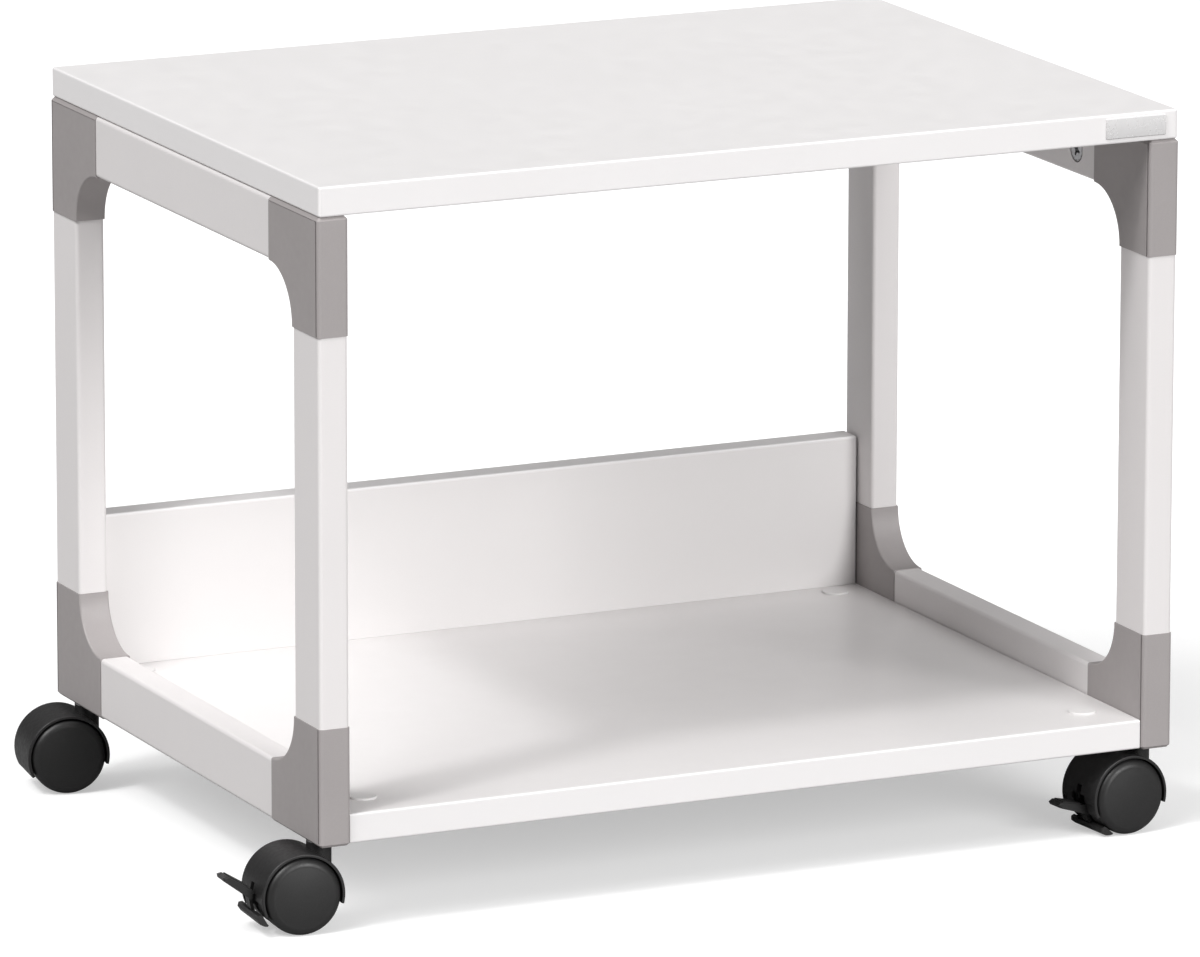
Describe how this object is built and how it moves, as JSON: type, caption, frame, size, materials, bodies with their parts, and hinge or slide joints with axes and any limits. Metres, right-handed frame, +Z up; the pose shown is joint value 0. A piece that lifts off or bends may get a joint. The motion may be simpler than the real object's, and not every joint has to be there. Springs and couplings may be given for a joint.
{
  "type": "mobile printer stand",
  "caption": "Low trolley with a laminated worktop on two tube side frames, a lower shelf with an upright back panel, and twin-wheel swivel castors, the front ones with foot brakes.",
  "frame": {"origin": "centre of the worktop's upper face, where the printer stands; the floor is 0.477 m below it", "axes": "+Z up, out of the worktop; +X to the right along the worktop's long side, seen from the front; +Y to the back, towards the back panel"},
  "size_m": [0.657, 0.4338, 0.477],
  "materials": {
    "worktop_laminate": "light grey melamine laminate, satin",
    "board_laminate": "light grey melamine laminate, satin",
    "edge_band": "near-white plastic edge band, satin",
    "plate_metal": "blank silver plate, glossy",
    "tube_paint": "light grey powder coat, satin",
    "connector_plastic": "mid grey plastic, fine texture",
    "cap_plastic": "light grey plastic, satin",
    "dowel_wood": "plain beech",
    "cam_zinc": "die-cast zinc, satin",
    "fastener_steel": "zinc-plated steel",
    "ring_steel": "spring steel",
    "castor_hood_nylon": "black nylon, fine texture",
    "castor_wheel_nylon": "black nylon, fine texture",
    "brake_lever_nylon": "black nylon, satin"
  },
  "bodies": {
    "frame": {"back_panel": "board_laminate", "back_panel_cam_bolts": "fastener_steel", "back_panel_cam_caps": "cap_plastic", "back_panel_cam_locks": "cam_zinc", "back_panel_dowels": "dowel_wood", "back_panel_edge_bands": "edge_band", "bottom_connector_front_left": "connector_plastic", "bottom_connector_front_right": "connector_plastic", "bottom_connector_rear_left": "connector_plastic", "bottom_connector_rear_right": "connector_plastic", "bottom_rail_left": "tube_paint", "bottom_rail_right": "tube_paint", "castor_stem_rings": "ring_steel", "castor_stems": "fastener_steel", "leg_front_left": "tube_paint", "leg_front_right": "tube_paint", "leg_rear_left": "tube_paint", "leg_rear_right": "tube_paint", "name_plate": "plate_metal", "rail_cam_bolts": "fastener_steel", "rail_cam_locks": "cam_zinc", "shelf_board": "board_laminate", "shelf_cam_bolts": "fastener_steel", "shelf_cam_caps": "cap_plastic", "shelf_cam_locks": "cam_zinc", "shelf_edge_bands": "edge_band", "top_board": "worktop_laminate", "top_board_edge_bands": "edge_band", "top_connector_front_left": "connector_plastic", "top_connector_front_right": "connector_plastic", "top_connector_rear_left": "connector_plastic", "top_connector_rear_right": "connector_plastic", "top_rail_left": "tube_paint", "top_rail_right": "tube_paint"},
    "castor_front_left": {"castor_front_left_hood": "castor_hood_nylon", "castor_front_left_axle": "fastener_steel", "brake_pivot_pin_front_left": "fastener_steel"},
    "castor_front_left_wheel_a": {"castor_front_left_wheel_a": "castor_wheel_nylon"},
    "castor_front_left_wheel_b": {"castor_front_left_wheel_b": "castor_wheel_nylon"},
    "brake_lever_front_left": {"brake_lever_front_left": "brake_lever_nylon"},
    "castor_front_right": {"castor_front_right_hood": "castor_hood_nylon", "castor_front_right_axle": "fastener_steel", "brake_pivot_pin_front_right": "fastener_steel"},
    "castor_front_right_wheel_a": {"castor_front_right_wheel_a": "castor_wheel_nylon"},
    "castor_front_right_wheel_b": {"castor_front_right_wheel_b": "castor_wheel_nylon"},
    "brake_lever_front_right": {"brake_lever_front_right": "brake_lever_nylon"},
    "castor_rear_left": {"castor_rear_left_hood": "castor_hood_nylon", "castor_rear_left_axle": "fastener_steel"},
    "castor_rear_left_wheel_a": {"castor_rear_left_wheel_a": "castor_wheel_nylon"},
    "castor_rear_left_wheel_b": {"castor_rear_left_wheel_b": "castor_wheel_nylon"},
    "castor_rear_right": {"castor_rear_right_hood": "castor_hood_nylon", "castor_rear_right_axle": "fastener_steel"},
    "castor_rear_right_wheel_a": {"castor_rear_right_wheel_a": "castor_wheel_nylon"},
    "castor_rear_right_wheel_b": {"castor_rear_right_wheel_b": "castor_wheel_nylon"}
  },
  "joints": [
    {"name": "castor_front_left_swivel", "type": "hinge", "parent": "frame", "child": "castor_front_left", "pos_m": [-0.2895, -0.1895, -0.427], "axis": [0, 0, 1], "continuous": true},
    {"name": "castor_front_left_wheel_a_spin", "type": "hinge", "parent": "castor_front_left", "child": "castor_front_left_wheel_a", "pos_m": [-0.30646, -0.18831, -0.452], "axis": [0.0698, 0.9976, 0], "continuous": true},
    {"name": "castor_front_left_wheel_b_spin", "type": "hinge", "parent": "castor_front_left", "child": "castor_front_left_wheel_b", "pos_m": [-0.30646, -0.18831, -0.452], "axis": [0.0698, 0.9976, 0], "continuous": true},
    {"name": "brake_front_left", "type": "hinge", "parent": "castor_front_left", "child": "brake_lever_front_left", "pos_m": [-0.30546, -0.18838, -0.44], "axis": [-0.0698, -0.9976, 0], "range_deg": [0, 19]},
    {"name": "castor_front_right_swivel", "type": "hinge", "parent": "frame", "child": "castor_front_right", "pos_m": [0.2895, -0.1895, -0.427], "axis": [0, 0, 1], "continuous": true},
    {"name": "castor_front_right_wheel_a_spin", "type": "hinge", "parent": "castor_front_right", "child": "castor_front_right_wheel_a", "pos_m": [0.27255, -0.19083, -0.452], "axis": [-0.0785, 0.9969, 0], "continuous": true},
    {"name": "castor_front_right_wheel_b_spin", "type": "hinge", "parent": "castor_front_right", "child": "castor_front_right_wheel_b", "pos_m": [0.27255, -0.19083, -0.452], "axis": [-0.0785, 0.9969, 0], "continuous": true},
    {"name": "brake_front_right", "type": "hinge", "parent": "castor_front_right", "child": "brake_lever_front_right", "pos_m": [0.27355, -0.19076, -0.44], "axis": [0.0785, -0.9969, 0], "range_deg": [-19, 0]},
    {"name": "castor_rear_left_swivel", "type": "hinge", "parent": "frame", "child": "castor_rear_left", "pos_m": [-0.2895, 0.1895, -0.427], "axis": [0, 0, 1], "continuous": true},
    {"name": "castor_rear_left_wheel_a_spin", "type": "hinge", "parent": "castor_rear_left", "child": "castor_rear_left_wheel_a", "pos_m": [-0.30631, 0.19201, -0.452], "axis": [0.1478, 0.989, 0], "continuous": true},
    {"name": "castor_rear_left_wheel_b_spin", "type": "hinge", "parent": "castor_rear_left", "child": "castor_rear_left_wheel_b", "pos_m": [-0.30631, 0.19201, -0.452], "axis": [0.1478, 0.989, 0], "continuous": true},
    {"name": "castor_rear_right_swivel", "type": "hinge", "parent": "frame", "child": "castor_rear_right", "pos_m": [0.2895, 0.1895, -0.427], "axis": [0, 0, 1], "continuous": true},
    {"name": "castor_rear_right_wheel_a_spin", "type": "hinge", "parent": "castor_rear_right", "child": "castor_rear_right_wheel_a", "pos_m": [0.27252, 0.19039, -0.452], "axis": [0.0523, 0.9986, 0], "continuous": true},
    {"name": "castor_rear_right_wheel_b_spin", "type": "hinge", "parent": "castor_rear_right", "child": "castor_rear_right_wheel_b", "pos_m": [0.27252, 0.19039, -0.452], "axis": [0.0523, 0.9986, 0], "continuous": true}
  ]
}
